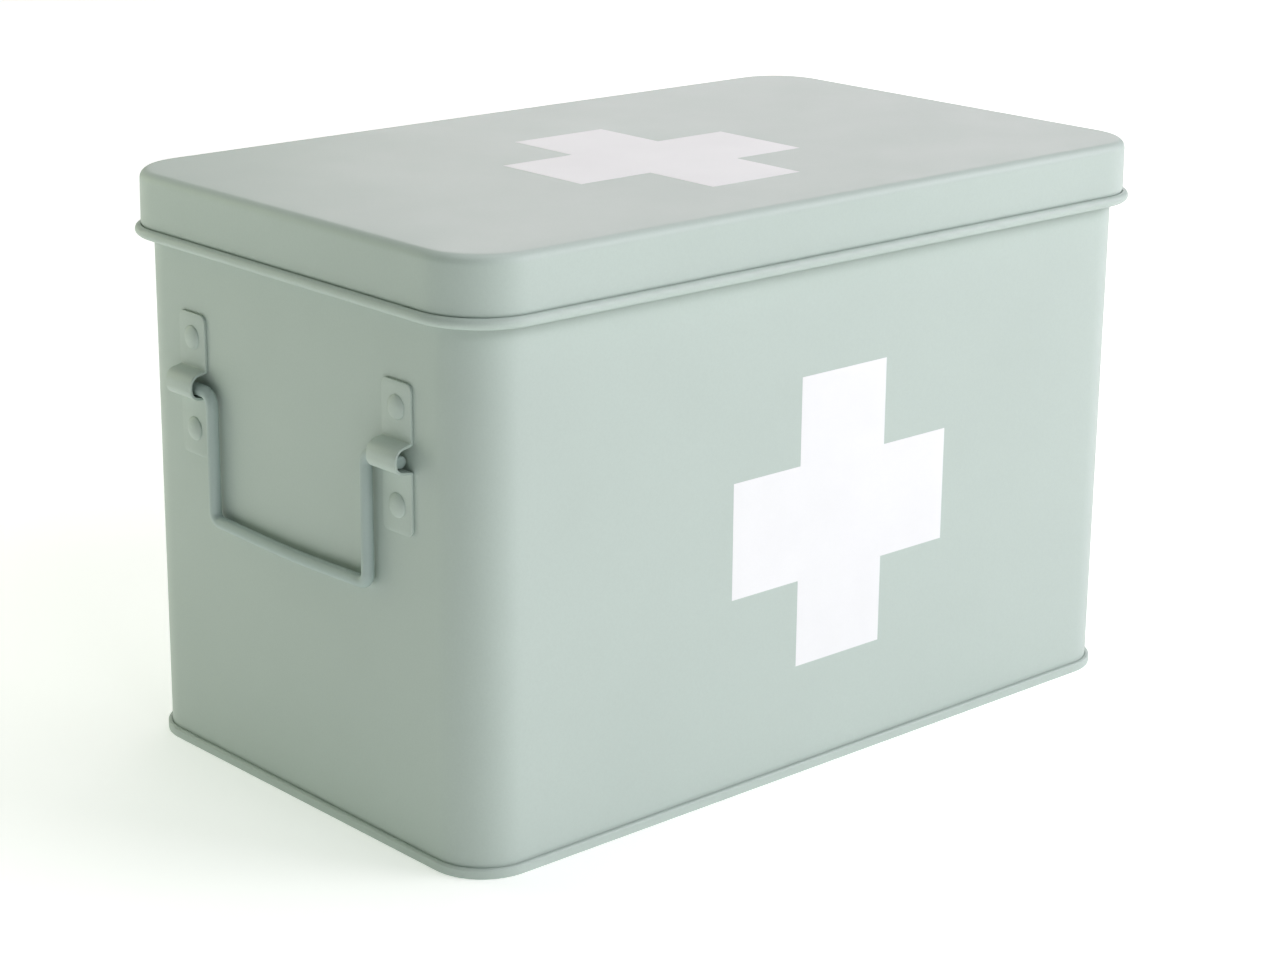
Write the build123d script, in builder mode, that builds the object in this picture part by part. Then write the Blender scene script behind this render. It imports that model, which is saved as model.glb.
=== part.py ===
from build123d import *
import os
from math import asin, degrees

# Metal medicine box: rolled steel body with a lift-off lid, a swinging wire
# bail on each end and a lift-out compartment tray. Millimetres, Z up.
# X runs along the length, the face with the cross looks to -Y, and the origin
# is at the centre of the footprint, on the surface that the box stands on.

# ---------------------------------------------------------------- dimensions
body_length = 300.0        # outside of the side wall along X
body_width = 178.0         # outside of the side wall along Y
corner_radius = 18.0       # outside of the upright corners
sheet = 0.7                # steel sheet of body, bottom and lid
total_height = 196.5       # top of the closed lid

# bottom seam
seam_height = 3.4
seam_proud = 1.5
seam_crown = 1.0           # metal under the lower edge of the wall
seam_inner_leg = 0.7
panel_top = 3.4

# curled rim of the body, under the lid
rim_radius = 1.3
rim_centre_out = 0.95      # centre of the curl, outward from the wall's outside
rim_gap = 0.6              # between the curl and the lid's top plate

# lid
lid_out_top = 4.0          # skirt's outside, outward from the wall, near the top
lid_out_bottom = 4.25      # the same just above the bead
lid_fillet = 3.2
bead_radius = 1.75
bead_centre_out = 4.45
bead_z = 176.4
bead_slit = 0.3            # open gap between the bead's free edge and the skirt

# rear lock seam
lock_width = 6.0
lock_proud = 0.9

# crosses
arm_half = 19.7
span_half = 49.65
front_cross_x, front_cross_z = 6.0, 87.8
lid_cross_x, lid_cross_y = -5.9, -8.4
print_layer = 0.15

# handle straps
strap_width = 14.4
strap_sheet = 0.9
strap_bottom, strap_top = 105.3, 153.3
strap_offset = 54.2       # strap centre from the handle's centre line
handle_centre_y = 0.4     # middle of the two straps
loop_depth = 6.1          # inside of the loop, outward from the wall
loop_bottom, loop_top = 126.1, 134.3
strap_corner = 2.5

# rivets
rivet_z = (114.2, 145.0)
rivet_head_radius = 4.0
rivet_head_height = 1.25
rivet_shank_radius = 2.0
rivet_tail_radius = 3.0
rivet_tail_height = 0.9
rivet_hole_radius = 2.05
rivet_rim = 0.35           # upright edge under the dome

# wire bail
wire_radius = 2.05
pin_out = 2.7              # pin axis, outward from the wall
pin_z = 128.95
pin_end = 58.6             # cut end of the wire, from the handle's centre line
leg_offset = 41.2
bar_z = 86.0
pin_bend = 4.4
bar_bend = 3.6

# tray
tray_gap = 2.0             # between the tray and the inside of the wall
tray_sheet = 0.6
tray_bottom = 143.2
tray_top = 188.0
tray_fillet = 3.0
hem_height = 4.0
divider_top = 182.0
divider_flange = 10.0
cross_divider_x = (-49.0, 49.0)

# ledges that carry the tray
ledge_sheet = 0.8
ledge_top = 143.0
ledge_drop = 12.0
ledge_reach = 9.3
ledge_length = 80.0

# ------------------------------------------------------------ derived values
half_l, half_w = body_length / 2, body_width / 2
inner_l, inner_w = body_length - 2 * sheet, body_width - 2 * sheet
end_x = -half_l            # plane of the left end wall
rim_z = total_height - sheet - rim_gap - rim_radius
front_strap_y = handle_centre_y - strap_offset
rear_strap_y = handle_centre_y + strap_offset

os.makedirs("parts", exist_ok=True)

# ----------------------------------------------------------------- body wall
with BuildPart() as body_wall:
    # one sheet rolled round the four corners
    with BuildSketch(Plane.XY.offset(seam_crown)):
        RectangleRounded(body_length, body_width, corner_radius)
        RectangleRounded(inner_l, inner_w, corner_radius - sheet, mode=Mode.SUBTRACT)
    extrude(amount=rim_z - seam_crown)
    # flattened lock seam down the middle of the back
    with BuildSketch(Plane.XY.offset(seam_height + 0.2)):
        with Locations((0, half_w + lock_proud / 2 - 0.1)):
            Rectangle(lock_width, lock_proud + 0.2)
    extrude(amount=rim_z - 2.5 - seam_height)
    chamfer(
        body_wall.edges().filter_by(Axis.Z).filter_by_position(Axis.Y, half_w + lock_proud - 0.05, half_w + lock_proud + 0.05),
        length=0.5,
    )
    # upper edge curled outward, its free edge tucked against the wall
    with BuildSketch(Plane.XY.offset(rim_z), mode=Mode.PRIVATE) as rim_outline:
        RectangleRounded(
            body_length + 2 * rim_centre_out, body_width + 2 * rim_centre_out, corner_radius + rim_centre_out
        )
    rim_path = rim_outline.sketch.wires()[0]
    with BuildSketch(Plane(origin=rim_path @ 0, x_dir=(rim_path % 0).cross(Vector(0, 0, 1)), z_dir=rim_path % 0)):
        Circle(rim_radius)
        Circle(rim_radius - sheet, mode=Mode.SUBTRACT)
    sweep(path=rim_path)
    # the gap under the curl, between its free edge and the wall
    with BuildSketch(Plane.XY.offset(rim_z - rim_radius - 0.1)):
        RectangleRounded(body_length + 0.6, body_width + 0.6, corner_radius + 0.3)
        RectangleRounded(body_length, body_width, corner_radius, mode=Mode.SUBTRACT)
        with Locations((0, half_w)):
            Rectangle(lock_width + 1, 4, mode=Mode.SUBTRACT)
    extrude(amount=rim_radius - sheet + 0.3, mode=Mode.SUBTRACT)
    # rivet holes in both ends
    with BuildSketch(Plane.YZ):
        for y in (front_strap_y, rear_strap_y):
            with Locations((y, rivet_z[0]), (y, rivet_z[1])):
                Circle(rivet_hole_radius)
    extrude(amount=half_l + 2, both=True, mode=Mode.SUBTRACT)
body_wall.part.label = "body_wall"
export_step(body_wall.part, "parts/body_wall.step")

# -------------------------------------------------------------- bottom panel
with BuildPart() as bottom_panel:
    # pressed panel, set up above the rim that it stands on
    with BuildSketch(Plane.XY):
        RectangleRounded(body_length + 2 * seam_proud, body_width + 2 * seam_proud, corner_radius + seam_proud)
    extrude(amount=seam_height)
    fillet(bottom_panel.faces().sort_by(Axis.Z)[-1].edges(), radius=0.6)
    fillet(bottom_panel.faces().sort_by(Axis.Z)[0].edges(), radius=0.6)
    # groove that grips the lower edge of the wall
    with BuildSketch(Plane.XY.offset(seam_crown)):
        RectangleRounded(body_length, body_width, corner_radius)
        RectangleRounded(inner_l, inner_w, corner_radius - sheet, mode=Mode.SUBTRACT)
    extrude(amount=seam_height, mode=Mode.SUBTRACT)
    # hollow under the panel
    with BuildSketch(Plane.XY):
        RectangleRounded(
            inner_l - 2 * seam_inner_leg, inner_w - 2 * seam_inner_leg, corner_radius - sheet - seam_inner_leg
        )
    extrude(amount=panel_top - sheet, mode=Mode.SUBTRACT)
bottom_panel.part.label = "bottom_panel"
export_step(bottom_panel.part, "parts/bottom_panel.step")

# --------------------------------------------------------------- front cross
with BuildPart() as front_cross:
    # thin printed layer on the front face
    with BuildSketch(Plane(origin=(front_cross_x, -half_w, front_cross_z), x_dir=(1, 0, 0), z_dir=(0, -1, 0))):
        Rectangle(2 * span_half, 2 * arm_half)
        Rectangle(2 * arm_half, 2 * span_half)
    extrude(amount=print_layer)
front_cross.part.label = "front_cross"
export_step(front_cross.part, "parts/front_cross.step")

# ----------------------------------------------------------------- lid shell
# space inside the drawn cover, one sheet thickness in from its outside
with BuildPart() as lid_inside:
    with BuildSketch(Plane.XY.offset(bead_z)):
        RectangleRounded(
            body_length + 2 * (lid_out_bottom - sheet),
            body_width + 2 * (lid_out_bottom - sheet),
            corner_radius + lid_out_bottom - sheet,
        )
    with BuildSketch(Plane.XY.offset(total_height - sheet)):
        RectangleRounded(
            body_length + 2 * (lid_out_top - sheet),
            body_width + 2 * (lid_out_top - sheet),
            corner_radius + lid_out_top - sheet,
        )
    loft()
    fillet(lid_inside.faces().sort_by(Axis.Z)[-1].edges(), radius=lid_fillet - sheet)

with BuildPart() as lid_shell:
    # outside of the drawn cover: flaring skirt and rolled-over top edge
    with BuildSketch(Plane.XY.offset(bead_z)):
        RectangleRounded(
            body_length + 2 * lid_out_bottom, body_width + 2 * lid_out_bottom, corner_radius + lid_out_bottom
        )
    with BuildSketch(Plane.XY.offset(total_height)):
        RectangleRounded(body_length + 2 * lid_out_top, body_width + 2 * lid_out_top, corner_radius + lid_out_top)
    loft()
    fillet(lid_shell.faces().sort_by(Axis.Z)[-1].edges(), radius=lid_fillet)
    add(lid_inside.part, mode=Mode.SUBTRACT)
    # bead: the lower edge curled outward and up, its free edge just off the skirt
    with BuildSketch(Plane.XY.offset(bead_z), mode=Mode.PRIVATE) as bead_outline:
        RectangleRounded(
            body_length + 2 * bead_centre_out, body_width + 2 * bead_centre_out, corner_radius + bead_centre_out
        )
    bead_path = bead_outline.sketch.wires()[0]
    with BuildSketch(Plane(origin=bead_path @ 0, x_dir=(bead_path % 0).cross(Vector(0, 0, 1)), z_dir=bead_path % 0)):
        Circle(bead_radius)
        Circle(bead_radius - sheet, mode=Mode.SUBTRACT)
    sweep(path=bead_path)
    with BuildSketch(Plane.XY.offset(bead_z + bead_radius - sheet - 0.3)):
        RectangleRounded(
            body_length + 2 * (lid_out_bottom + bead_slit),
            body_width + 2 * (lid_out_bottom + bead_slit),
            corner_radius + lid_out_bottom + bead_slit,
        )
        RectangleRounded(
            body_length + 2 * lid_out_bottom,
            body_width + 2 * lid_out_bottom,
            corner_radius + lid_out_bottom,
            mode=Mode.SUBTRACT,
        )
    extrude(amount=2.0, mode=Mode.SUBTRACT)
lid_shell.part.label = "lid_shell"
export_step(lid_shell.part, "parts/lid_shell.step")

# ----------------------------------------------------------------- lid cross
with BuildPart() as lid_cross:
    with BuildSketch(Plane.XY.offset(total_height)):
        with Locations((lid_cross_x, lid_cross_y)):
            Rectangle(2 * span_half, 2 * arm_half)
            Rectangle(2 * arm_half, 2 * span_half)
    extrude(amount=print_layer)
lid_cross.part.label = "lid_cross"
export_step(lid_cross.part, "parts/lid_cross.step")

# ------------------------------------------------------------- handle straps
# A strap lies flat on the end wall above and below a loop for the wire. The
# loop leans out gently above and comes back sharply below.
with BuildPart() as left_front_bracket:
    with BuildSketch(Plane(origin=(end_x, front_strap_y, 0), x_dir=(-1, 0, 0), z_dir=(0, 1, 0))):
        with BuildLine():
            strap_line = FilletPolyline(
                (0, strap_bottom),
                (0, loop_bottom),
                (loop_depth, loop_bottom + 0.75),
                (loop_depth, loop_top - 1.2),
                (0, loop_top),
                (0, strap_top),
                radius=(0.8, 2.6, 3.2, 1.3),
            )
            offset(strap_line, amount=strap_sheet, side=Side.RIGHT, closed=True)
        make_face()
    extrude(amount=strap_width / 2, both=True)
    fillet(
        left_front_bracket.edges().filter_by(Axis.X).group_by(Axis.Z)[0]
        + left_front_bracket.edges().filter_by(Axis.X).group_by(Axis.Z)[-1],
        radius=strap_corner,
    )
    with BuildSketch(Plane.YZ.offset(end_x)):
        with Locations((front_strap_y, rivet_z[0]), (front_strap_y, rivet_z[1])):
            Circle(rivet_hole_radius)
    extrude(amount=-2 * strap_sheet, mode=Mode.SUBTRACT)
left_front_bracket.part.label = "left_front_bracket"
export_step(left_front_bracket.part, "parts/left_front_bracket.step")

with BuildPart() as left_rear_bracket:
    add(left_front_bracket.part.moved(Location((0, 2 * strap_offset, 0))))
left_rear_bracket.part.label = "left_rear_bracket"
export_step(left_rear_bracket.part, "parts/left_rear_bracket.step")

with BuildPart() as right_front_bracket:
    mirror(left_front_bracket.part, about=Plane.YZ)
right_front_bracket.part.label = "right_front_bracket"
export_step(right_front_bracket.part, "parts/right_front_bracket.step")

with BuildPart() as right_rear_bracket:
    mirror(left_rear_bracket.part, about=Plane.YZ)
right_rear_bracket.part.label = "right_rear_bracket"
export_step(right_rear_bracket.part, "parts/right_rear_bracket.step")

# -------------------------------------------------------------------- rivets
# domed head on the strap, shank through strap and wall, tail set inside
dome_height = rivet_head_height - rivet_rim
dome_radius = (rivet_head_radius**2 + dome_height**2) / (2 * dome_height)
dome_centre = strap_sheet + rivet_head_height - dome_radius
dome_angle = degrees(asin(rivet_head_radius / dome_radius))
with BuildPart() as left_front_rivets:
    for z in rivet_z:
        with BuildSketch(Plane(origin=(end_x, front_strap_y, z), x_dir=(-1, 0, 0), z_dir=(0, 1, 0))):
            with BuildLine():
                Polyline(
                    (strap_sheet + rivet_head_height, 0),
                    (-sheet - rivet_tail_height, 0),
                    (-sheet - rivet_tail_height, rivet_tail_radius - 0.3),
                    (-sheet - rivet_tail_height + 0.3, rivet_tail_radius),
                    (-sheet, rivet_tail_radius),
                    (-sheet, rivet_shank_radius),
                    (strap_sheet, rivet_shank_radius),
                    (strap_sheet, rivet_head_radius),
                    (strap_sheet + rivet_rim, rivet_head_radius),
                )
                CenterArc((dome_centre, 0), dome_radius, 0, dome_angle)
            make_face()
        revolve(axis=Axis((end_x, front_strap_y, z), (-1, 0, 0)))
left_front_rivets.part.label = "left_front_rivets"
export_step(left_front_rivets.part, "parts/left_front_rivets.step")

with BuildPart() as left_rear_rivets:
    add(left_front_rivets.part.moved(Location((0, 2 * strap_offset, 0))))
left_rear_rivets.part.label = "left_rear_rivets"
export_step(left_rear_rivets.part, "parts/left_rear_rivets.step")

with BuildPart() as right_front_rivets:
    mirror(left_front_rivets.part, about=Plane.YZ)
right_front_rivets.part.label = "right_front_rivets"
export_step(right_front_rivets.part, "parts/right_front_rivets.step")

with BuildPart() as right_rear_rivets:
    mirror(left_rear_rivets.part, about=Plane.YZ)
right_rear_rivets.part.label = "right_rear_rivets"
export_step(right_rear_rivets.part, "parts/right_rear_rivets.step")

# ---------------------------------------------------------------- wire bails
with BuildPart() as left_handle:
    bail_plane = Plane(origin=(end_x - pin_out, handle_centre_y, 0), x_dir=(0, 1, 0), z_dir=(1, 0, 0))
    with BuildLine(bail_plane) as bail_line:
        FilletPolyline(
            (-pin_end, pin_z),
            (-leg_offset, pin_z),
            (-leg_offset, bar_z),
            (leg_offset, bar_z),
            (leg_offset, pin_z),
            (pin_end, pin_z),
            radius=(pin_bend, bar_bend, bar_bend, pin_bend),
        )
    bail_path = bail_line.wires()[0]
    with BuildSketch(Plane(origin=bail_path @ 0, z_dir=bail_path % 0)):
        Circle(wire_radius)
    sweep(path=bail_path)
    chamfer(
        left_handle.faces().sort_by(Axis.Y)[0].edges() + left_handle.faces().sort_by(Axis.Y)[-1].edges(), length=0.3
    )
left_handle.part.label = "left_handle"
export_step(left_handle.part, "parts/left_handle.step")

with BuildPart() as right_handle:
    mirror(left_handle.part, about=Plane.YZ)
right_handle.part.label = "right_handle"
export_step(right_handle.part, "parts/right_handle.step")

# ---------------------------------------------------------------------- tray
tray_l = inner_l - 2 * tray_gap
tray_w = inner_w - 2 * tray_gap
tray_r = corner_radius - sheet - tray_gap

# space inside the tray
with BuildPart() as tray_inside:
    with BuildSketch(Plane.XY.offset(tray_bottom + tray_sheet)):
        RectangleRounded(tray_l - 2 * tray_sheet, tray_w - 2 * tray_sheet, tray_r - tray_sheet)
    extrude(amount=tray_top - tray_bottom)
    fillet(tray_inside.faces().sort_by(Axis.Z)[0].edges(), radius=tray_fillet - tray_sheet)

with BuildPart() as tray_shell:
    with BuildSketch(Plane.XY.offset(tray_bottom)):
        RectangleRounded(tray_l, tray_w, tray_r)
    extrude(amount=tray_top - tray_bottom)
    fillet(tray_shell.faces().sort_by(Axis.Z)[0].edges(), radius=tray_fillet)
    # hem folded outward along the upper edge
    with BuildSketch(Plane.XY.offset(tray_top - hem_height)):
        RectangleRounded(tray_l + 2 * tray_sheet, tray_w + 2 * tray_sheet, tray_r + tray_sheet)
    extrude(amount=hem_height)
    add(tray_inside.part, mode=Mode.SUBTRACT)
tray_shell.part.label = "tray_shell"
export_step(tray_shell.part, "parts/tray_shell.step")

floor_z = tray_bottom + tray_sheet
inside_l, inside_w = tray_l - 2 * tray_sheet, tray_w - 2 * tray_sheet
foot_inset = tray_fillet + 0.6

with BuildPart() as tray_long_divider:
    with BuildSketch(Plane.XZ.offset(-tray_sheet / 2)):
        with BuildLine():
            Polyline(
                (-inside_l / 2 + foot_inset, floor_z),
                (inside_l / 2 - foot_inset, floor_z),
                (inside_l / 2 - 0.4, floor_z + foot_inset),
                (inside_l / 2 - 0.4, divider_top - 3),
                (inside_l / 2 - 3.4, divider_top),
                (-inside_l / 2 + 3.4, divider_top),
                (-inside_l / 2 + 0.4, divider_top - 3),
                (-inside_l / 2 + 0.4, floor_z + foot_inset),
                close=True,
            )
        make_face()
    extrude(amount=tray_sheet)
    # foot folded along the tray's floor
    with BuildSketch(Plane.XY.offset(floor_z)):
        with Locations((0, divider_flange / 2)):
            Rectangle(inside_l - 2 * foot_inset, divider_flange)
    extrude(amount=tray_sheet)
tray_long_divider.part.label = "tray_long_divider"
export_step(tray_long_divider.part, "parts/tray_long_divider.step")

with BuildPart() as tray_cross_dividers:
    for x in cross_divider_x:
        with BuildSketch(Plane.YZ.offset(x - tray_sheet / 2)):
            with BuildLine():
                Polyline(
                    (-inside_w / 2 + foot_inset, floor_z),
                    (-tray_sheet / 2, floor_z),
                    (-tray_sheet / 2, divider_top),
                    (-inside_w / 2 + 3.4, divider_top),
                    (-inside_w / 2 + 0.4, divider_top - 3),
                    (-inside_w / 2 + 0.4, floor_z + foot_inset),
                    close=True,
                )
            make_face()
        extrude(amount=tray_sheet)
        with BuildSketch(Plane.XY.offset(floor_z)):
            with Locations((x + divider_flange / 2, (-inside_w / 2 + foot_inset - tray_sheet / 2) / 2)):
                Rectangle(divider_flange, inside_w / 2 - foot_inset - tray_sheet / 2)
        extrude(amount=tray_sheet)
tray_cross_dividers.part.label = "tray_cross_dividers"
export_step(tray_cross_dividers.part, "parts/tray_cross_dividers.step")

# -------------------------------------------------------------- tray ledges
with BuildPart() as left_tray_ledge:
    with BuildSketch(Plane.XZ.offset(-handle_centre_y)):
        with BuildLine():
            Polyline(
                (end_x + sheet, ledge_top),
                (end_x + sheet + ledge_reach, ledge_top),
                (end_x + sheet + ledge_reach, ledge_top - ledge_sheet),
                (end_x + sheet + ledge_sheet, ledge_top - ledge_sheet),
                (end_x + sheet + ledge_sheet, ledge_top - ledge_drop),
                (end_x + sheet, ledge_top - ledge_drop),
                close=True,
            )
        make_face()
    extrude(amount=ledge_length / 2, both=True)
left_tray_ledge.part.label = "left_tray_ledge"
export_step(left_tray_ledge.part, "parts/left_tray_ledge.step")

with BuildPart() as right_tray_ledge:
    mirror(left_tray_ledge.part, about=Plane.YZ)
right_tray_ledge.part.label = "right_tray_ledge"
export_step(right_tray_ledge.part, "parts/right_tray_ledge.step")
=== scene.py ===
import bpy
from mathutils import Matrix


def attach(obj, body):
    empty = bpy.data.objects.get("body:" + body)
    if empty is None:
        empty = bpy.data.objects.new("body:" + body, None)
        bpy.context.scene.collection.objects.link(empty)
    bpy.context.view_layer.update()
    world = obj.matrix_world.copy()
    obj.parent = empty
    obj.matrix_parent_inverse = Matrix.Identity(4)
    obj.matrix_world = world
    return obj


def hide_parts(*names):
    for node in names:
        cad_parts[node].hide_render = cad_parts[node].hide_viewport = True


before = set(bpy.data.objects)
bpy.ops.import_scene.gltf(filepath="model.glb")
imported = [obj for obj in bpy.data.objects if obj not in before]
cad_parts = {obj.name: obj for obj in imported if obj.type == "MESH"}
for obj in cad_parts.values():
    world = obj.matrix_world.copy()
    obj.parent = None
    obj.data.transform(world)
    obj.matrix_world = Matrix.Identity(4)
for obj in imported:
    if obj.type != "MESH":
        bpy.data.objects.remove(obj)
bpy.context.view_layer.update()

import math

import bpy
from mathutils import Matrix, Vector, noise

MM = 0.001

# ---------------------------------------------------------------- dimensions
# millimetres, the same numbers as the CAD
LENGTH, WIDTH, CORNER, SHEET, TOP = 300.0, 178.0, 18.0, 0.7, 196.5
HALF_L, HALF_W = LENGTH / 2, WIDTH / 2

SEAM_H, SEAM_OUT, SEAM_CROWN, SEAM_LEG = 3.4, 1.5, 1.0, 0.7
RIM_R, RIM_OUT = 1.3, 0.95
RIM_Z = TOP - SHEET - 0.6 - RIM_R
LID_TOP_OUT, LID_LOW_OUT, LID_FILLET = 4.0, 4.25, 3.2
BEAD_R, BEAD_OUT, BEAD_Z = 1.75, 4.45, 176.4
LOCK_W, LOCK_OUT = 6.0, 0.9

ARM, SPAN = 19.7, 49.65
FRONT_CROSS = (6.0, 87.8)
LID_CROSS = (-5.9, -8.4)

STRAP_W, STRAP_T, STRAP_LOW, STRAP_HIGH = 14.4, 0.9, 105.3, 153.3
HANDLE_Y, STRAP_OFF = 0.4, 54.2
LOOP_D, LOOP_LOW, LOOP_HIGH = 6.1, 126.1, 134.3
RIVET_Z, RIVET_R, RIVET_H = (114.2, 145.0), 4.0, 1.25

WIRE_R, PIN_OUT, PIN_Z, PIN_END = 2.05, 2.7, 128.95, 58.6
LEG, BAR_Z, PIN_BEND, BAR_BEND = 41.2, 86.0, 4.4, 3.6
BAR_BOW = 0.8

TRAY_GAP, TRAY_T, TRAY_Z, TRAY_TOP, TRAY_FILLET = 2.0, 0.6, 143.2, 188.0, 3.0

# ------------------------------------------------------------------- helpers


def bump_noise(x, y, seed, size):
    """Smooth noise about zero, with features of that size in mm."""
    return noise.noise(Vector((x / size, y / size, seed)))


def add_mesh(name, verts, faces, material, body, node=(), smooth=True, merge=1e-7, split=None):
    """A mesh object from millimetre vertices."""
    mesh = bpy.data.meshes.new(name)
    mesh.from_pydata([(v[0] * MM, v[1] * MM, v[2] * MM) for v in verts], [], faces)
    mesh.validate()
    import bmesh

    bm = bmesh.new()
    bm.from_mesh(mesh)
    bmesh.ops.remove_doubles(bm, verts=bm.verts, dist=merge)
    bmesh.ops.dissolve_degenerate(bm, dist=merge, edges=bm.edges)
    loose = [v for v in bm.verts if not v.link_faces]
    bmesh.ops.delete(bm, geom=loose, context="VERTS")
    bmesh.ops.recalc_face_normals(bm, faces=bm.faces)
    bm.to_mesh(mesh)
    bm.free()
    obj = bpy.data.objects.new(name, mesh)
    bpy.context.scene.collection.objects.link(obj)
    for p in mesh.polygons:
        p.use_smooth = smooth
    if split is not None:
        mesh.set_sharp_from_angle(angle=math.radians(split))
    mesh.materials.append(material)
    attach(obj, body)
    if node:
        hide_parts(*([node] if isinstance(node, str) else node))
    return obj


def spaced(a, b, n, ease=0.0):
    """n + 1 numbers from a to b."""
    return [a + (b - a) * i / n for i in range(n + 1)]


def base_ring(n_long=52, n_short=30, n_corner=22, length=LENGTH, width=WIDTH, corner=CORNER):
    """Points round the outside of the wall, with outward normals: (x, y, nx, ny)."""
    hl, hw, r = length / 2, width / 2, corner
    pts = []
    sides = [
        ((-hl + r, -hw), (hl - r, -hw), (0, -1), n_long),
        ((hl, -hw + r), (hl, hw - r), (1, 0), n_short),
        ((hl - r, hw), (-hl + r, hw), (0, 1), n_long),
        ((-hl, hw - r), (-hl, -hw + r), (-1, 0), n_short),
    ]
    corners = [(hl - r, -hw + r, -90), (hl - r, hw - r, 0), (-hl + r, hw - r, 90), (-hl + r, -hw + r, 180)]
    for (a, b, n, count), (cx, cy, start) in zip(sides, corners):
        for i in range(count):
            t = i / count
            pts.append((a[0] + (b[0] - a[0]) * t, a[1] + (b[1] - a[1]) * t, n[0], n[1]))
        for i in range(n_corner):
            ang = math.radians(start + 90 * i / n_corner)
            nx, ny = math.cos(ang), math.sin(ang)
            pts.append((cx + r * nx, cy + r * ny, nx, ny))
    return pts


def edge_fade(p, reach=14.0, length=LENGTH, width=WIDTH, corner=CORNER):
    """1 on the flat of a side, 0 at and round the corners."""
    x, y, nx, ny = p
    if abs(nx) > 0.999:
        t = (width / 2 - corner - abs(y)) / reach
    elif abs(ny) > 0.999:
        t = (length / 2 - corner - abs(x)) / reach
    else:
        t = 0
    t = max(0.0, min(1.0, t))
    return t * t * (3 - 2 * t)


def swept(ring, profile, closed=True, move=None):
    """Vertices and faces of a profile of (out, z) points carried round the ring. move(i, point, out, z) gives an extra outward distance."""
    n, m = len(ring), len(profile)
    verts, faces = [], []
    for i, p in enumerate(ring):
        x, y, nx, ny = p
        for out, z in profile:
            extra = move(p, out, z) if move else 0.0
            verts.append((x + nx * (out + extra), y + ny * (out + extra), z))
    last = m if closed else m - 1
    for i in range(n):
        for j in range(last):
            a, b = i * m + j, i * m + (j + 1) % m
            c, d = ((i + 1) % n) * m + (j + 1) % m, ((i + 1) % n) * m + j
            faces.append((a, d, c, b))
    return verts, faces


def plate(ring, counts, out_from, z_of, inset, rings, verts, faces, flip=False):
    """Adds a flat panel inside a ring: rings going in to the square-cornered rectangle, then a grid. The ring's corners are as round as inset."""
    n_long, n_short, n_corner = counts
    n = len(ring)
    start = len(verts)
    outs = [out_from + (inset - out_from) * k / rings for k in range(rings + 1)]
    for out in outs:
        for x, y, nx, ny in ring:
            px, py = x + nx * out, y + ny * out
            verts.append((px, py, z_of(px, py)))
    for k in range(rings):
        for i in range(n):
            a, b = start + k * n + i, start + k * n + (i + 1) % n
            c, d = start + (k + 1) * n + (i + 1) % n, start + (k + 1) * n + i
            faces.append((a, d, c, b) if flip else (a, b, c, d))
    # the grid uses the straight parts of the innermost ring
    x0 = ring[0][0]
    x1 = -x0
    y0 = ring[n_long + n_corner][1]
    y1 = -y0
    g = len(verts)
    for j in range(n_short + 1):
        for i in range(n_long + 1):
            px, py = x0 + (x1 - x0) * i / n_long, y0 + (y1 - y0) * j / n_short
            verts.append((px, py, z_of(px, py)))
    for j in range(n_short):
        for i in range(n_long):
            a = g + j * (n_long + 1) + i
            b, c, d = a + 1, a + n_long + 2, a + n_long + 1
            faces.append((a, d, c, b) if flip else (a, b, c, d))


def arc(cx, cz, r, a0, a1, n):
    return [
        (cx + r * math.cos(math.radians(a0 + (a1 - a0) * i / n)), cz + r * math.sin(math.radians(a0 + (a1 - a0) * i / n)))
        for i in range(n + 1)
    ]


def fillet_path(points, radii, seg=8):
    """A polyline with its inner corners rounded."""
    pts = [Vector(p) for p in points]
    out = [pts[0].copy()]
    for k in range(1, len(pts) - 1):
        a, b, c = pts[k - 1], pts[k], pts[k + 1]
        u, v = (a - b).normalized(), (c - b).normalized()
        ang = u.angle(v)
        t = radii[k - 1] / math.tan(ang / 2)
        mid = (u + v).normalized()
        centre = b + mid * (radii[k - 1] / math.sin(ang / 2))
        p0, p1 = b + u * t, b + v * t
        r0, r1 = p0 - centre, p1 - centre
        total = r0.angle(r1)
        for i in range(seg + 1):
            w = i / seg
            d = r0 * math.sin((1 - w) * total) + r1 * math.sin(w * total)
            out.append(centre + d / math.sin(total))
    out.append(pts[-1].copy())
    return out


def offset_path(path, amount):
    """The sheet's other side: each point moved square to the path."""
    out = []
    for i, p in enumerate(path):
        a = path[max(i - 1, 0)]
        b = path[min(i + 1, len(path) - 1)]
        t = (b - a).normalized()
        out.append(Vector((p.x + t.y * amount, p.y - t.x * amount)))
    return out


def sheet_profile(path, thick, seg=3):
    """A closed outline of a bent sheet whose middle follows the path."""
    a = offset_path(path, thick / 2)
    b = offset_path(path, -thick / 2)
    ends = []
    for p, q, cut in ((path[-1], path[-2], 1), (path[0], path[1], -1)):
        t = (p - q).normalized()
        ends.append((p, t))
    out = [tuple(v) for v in a]
    p, t = ends[0]
    n = Vector((t.y, -t.x))
    r = thick * 0.28
    for i in range(1, seg):
        ang = math.pi * i / seg - math.pi / 2
        out.append(tuple(p + t * r * math.cos(ang) - n * (thick / 2) * math.sin(ang)))
    out += [tuple(v) for v in reversed(b)]
    p, t = ends[1]
    n = Vector((-t.y, t.x))
    for i in range(1, seg):
        ang = math.pi * i / seg - math.pi / 2
        out.append(tuple(p + t * r * math.cos(ang) + n * (thick / 2) * math.sin(ang)))
    return out


# ----------------------------------------------------------------- materials


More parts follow.
